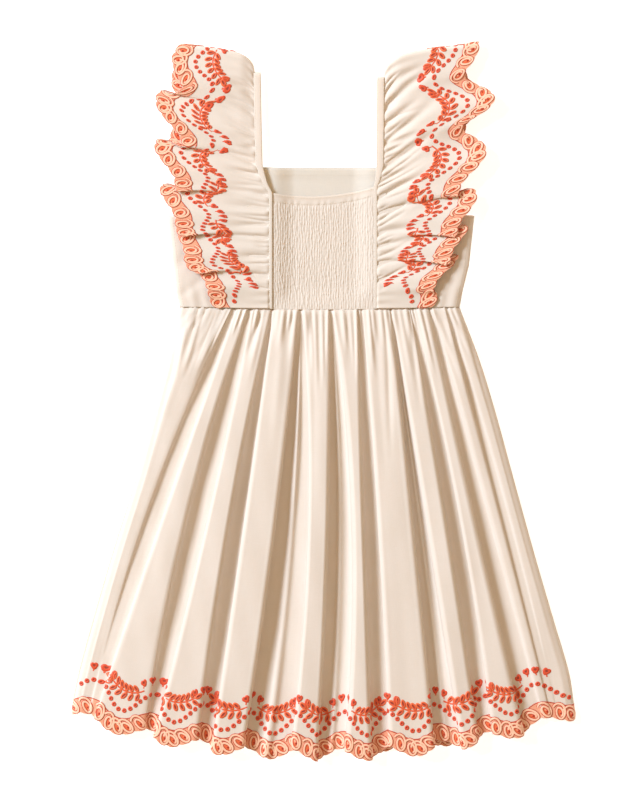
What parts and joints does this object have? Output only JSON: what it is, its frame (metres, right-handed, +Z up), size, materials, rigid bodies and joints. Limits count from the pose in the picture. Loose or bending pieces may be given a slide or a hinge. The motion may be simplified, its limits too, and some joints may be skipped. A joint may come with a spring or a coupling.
{
  "type": "girls dress",
  "caption": "Girls' summer dress laid flat, back upwards: shirred back, flutter sleeves, gathered skirt, scalloped embroidered edges.",
  "frame": {"origin": "on the surface that the dress lies on, under the middle of its outline", "axes": "+Z up from the surface, +Y from the hem to the shoulders, +X to the wearer's right as the back is looked down on"},
  "size_m": [0.4652, 0.6618, 0.0201],
  "materials": {
    "cotton": "matte",
    "shirred_cotton": "matte",
    "embroidered_cotton": "matte"
  },
  "bodies": {
    "root": {"skirt_back": "embroidered_cotton", "skirt_front": "embroidered_cotton", "bodice_front": "cotton", "bodice_back_shirred": "shirred_cotton", "bodice_side_back_left": "cotton", "bodice_side_back_right": "cotton", "strap_left": "cotton", "strap_right": "cotton", "ruffle_left": "embroidered_cotton", "ruffle_right": "embroidered_cotton"}
  },
  "joints": []
}
